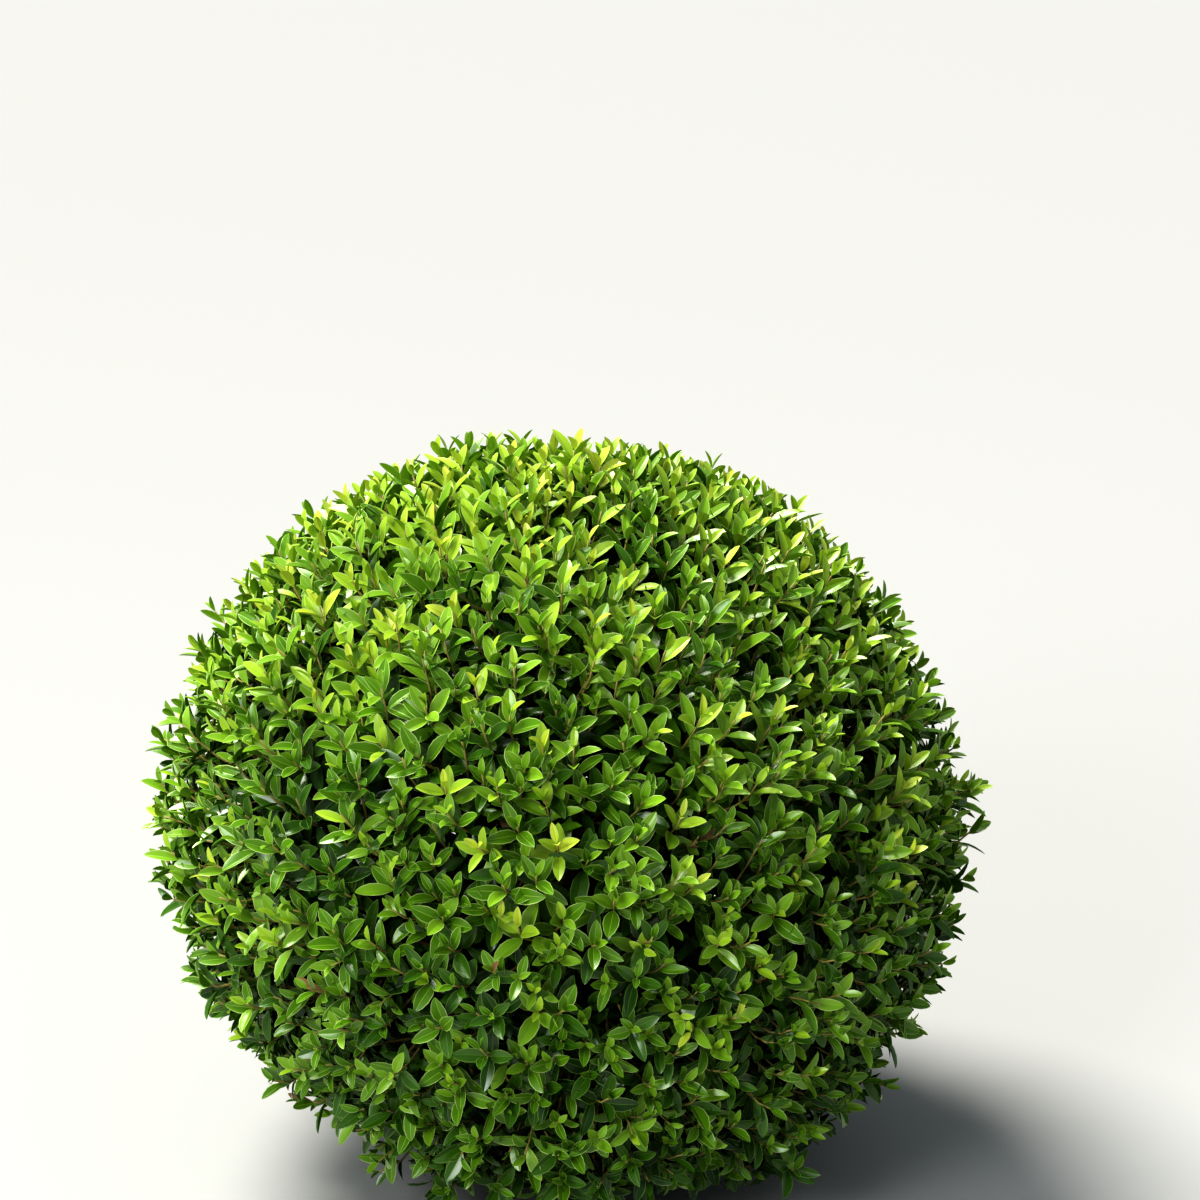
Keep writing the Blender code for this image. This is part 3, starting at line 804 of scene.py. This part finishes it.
def bough_grid(centres):
    """Rings square to the path, with radius falling evenly from base to tip, a collar and the shreds."""
    along = unit(np.gradient(centres, axis=0))
    upright = np.allclose(along[-1], UP)
    helper = np.array([0.0, 1.0, 0.0]) if upright else np.cross(along[-1], UP)
    side = unit(helper - along * np.sum(helper * along, axis=1, keepdims=True))
    up = np.cross(along, side)
    angle = ring_angles(len(centres), BOUGH_SIDES)
    steps = np.linalg.norm(np.diff(centres, axis=0, prepend=centres[:1]), axis=1)
    distance = np.cumsum(steps)[:, None]
    share = distance / distance[-1]
    radius = BOUGH_BASE_RADIUS + (BOUGH_TIP_RADIUS - BOUGH_BASE_RADIUS) * share
    past_collar = np.maximum(distance - COLLAR_START, 0)
    radius = radius * (1 + COLLAR * np.exp(-past_collar / COLLAR_REACH) * (1 - share))
    radius = radius + BOUGH_RELIEF * shreds(angle, distance) * (1 - SMOOTHER_TIP * share)
    ring = side[:, None] * np.cos(angle)[..., None] + up[:, None] * np.sin(angle)[..., None]
    return centres[:, None] + ring * radius[..., None], angle, distance

# %% Build the boughs
for number, place in enumerate(MASSES):
    azimuth = None if number == 0 else (number - 1) * SIDE_ANGLE - math.pi / 2
    grid, angle, distance = bough_grid(bough_centres(MASS_AXES[number], azimuth, BOUGH_RINGS))
    bough = wood_piece(f"bark_bough_{place}", grid, angle, distance, young_bark)
    settle(bough, f"bough_{place}")

# %% [markdown]
# ## Floor, light and camera
# The shrub stands on a plain pale floor, under a broad soft light from above, behind and to the left, with
# a weaker one in front at the left. The camera looks down by 20 degrees with a long lens, as in the photo.
# A contrasty view keeps the gaps between the sprays dark and the gloss of the leaves bright.

# %% Set the stage
FLOOR_HALF = 20.0
VIEW_DOWN = math.radians(20)
VIEW_DISTANCE = 2.4
VIEW_WIDTH = 0.691
AIM_UP = 0.132
AIM_RIGHT = 0.023
SENSOR = 36.0


def soft_light(kind, name, place, power, size, colour):
    """A light at that place, turned to the crown's middle. Its size is an angle for a sun, else a width."""
    lamp = bpy.data.lights.new(name, kind)
    lamp.energy = power
    lamp.color = colour
    setattr(lamp, "angle" if kind == "SUN" else "size", size)
    made = bpy.data.objects.new(name, lamp)
    made.location = place
    made.rotation_euler = (Vector(CROWN_MIDDLE) - made.location).to_track_quat("-Z", "Y").to_euler()
    bpy.context.scene.collection.objects.link(made)


corner = FLOOR_HALF * np.array([[-1, -1, 0], [1, -1, 0], [1, 1, 0], [-1, 1, 0]])
floor_mesh = bpy.data.meshes.new("floor")
floor_mesh.from_pydata(corner.tolist(), [], [(0, 1, 2, 3)])
floor_mesh.materials.append(plain("floor pale", (0.335, 0.335, 0.325), 0.9))
floor = bpy.data.objects.new("floor", floor_mesh)
bpy.context.scene.collection.objects.link(floor)

scene = bpy.context.scene
scene.world = bpy.data.worlds.new("soft sky")
scene.world.use_nodes = True
sky = scene.world.node_tree.nodes["Background"]
sky.inputs["Color"].default_value = (0.86, 0.93, 1.0, 1)
sky.inputs["Strength"].default_value = 0.30
above, in_front = (-1.1, 0.7, 2.6), (-1.3, -2.1, 1.5)
soft_light("SUN", "sky light", above, power=4.2, size=math.radians(30), colour=(1.0, 0.98, 0.93))
soft_light("AREA", "front light", in_front, power=32, size=1.0, colour=(0.97, 0.99, 1.0))
scene.view_settings.view_transform = "Standard"
scene.view_settings.look = "High Contrast"
scene.view_settings.exposure = 0.35

lens = bpy.data.cameras.new("camera")
lens.sensor_width = SENSOR
lens.lens = SENSOR * VIEW_DISTANCE / VIEW_WIDTH
camera = bpy.data.objects.new("camera", lens)
scene.collection.objects.link(camera)
back = Vector((0, -math.cos(VIEW_DOWN), math.sin(VIEW_DOWN)))
image_up = Vector((0, math.sin(VIEW_DOWN), math.cos(VIEW_DOWN)))
aim = Vector(CROWN_MIDDLE) + image_up * AIM_UP + Vector((AIM_RIGHT, 0, 0))
camera.location = Vector(CROWN_MIDDLE) + back * VIEW_DISTANCE
camera.rotation_euler = (aim - camera.location).to_track_quat("-Z", "Y").to_euler()
scene.camera = camera
print(f"lens {lens.lens:.0f} mm at {VIEW_DISTANCE} m")
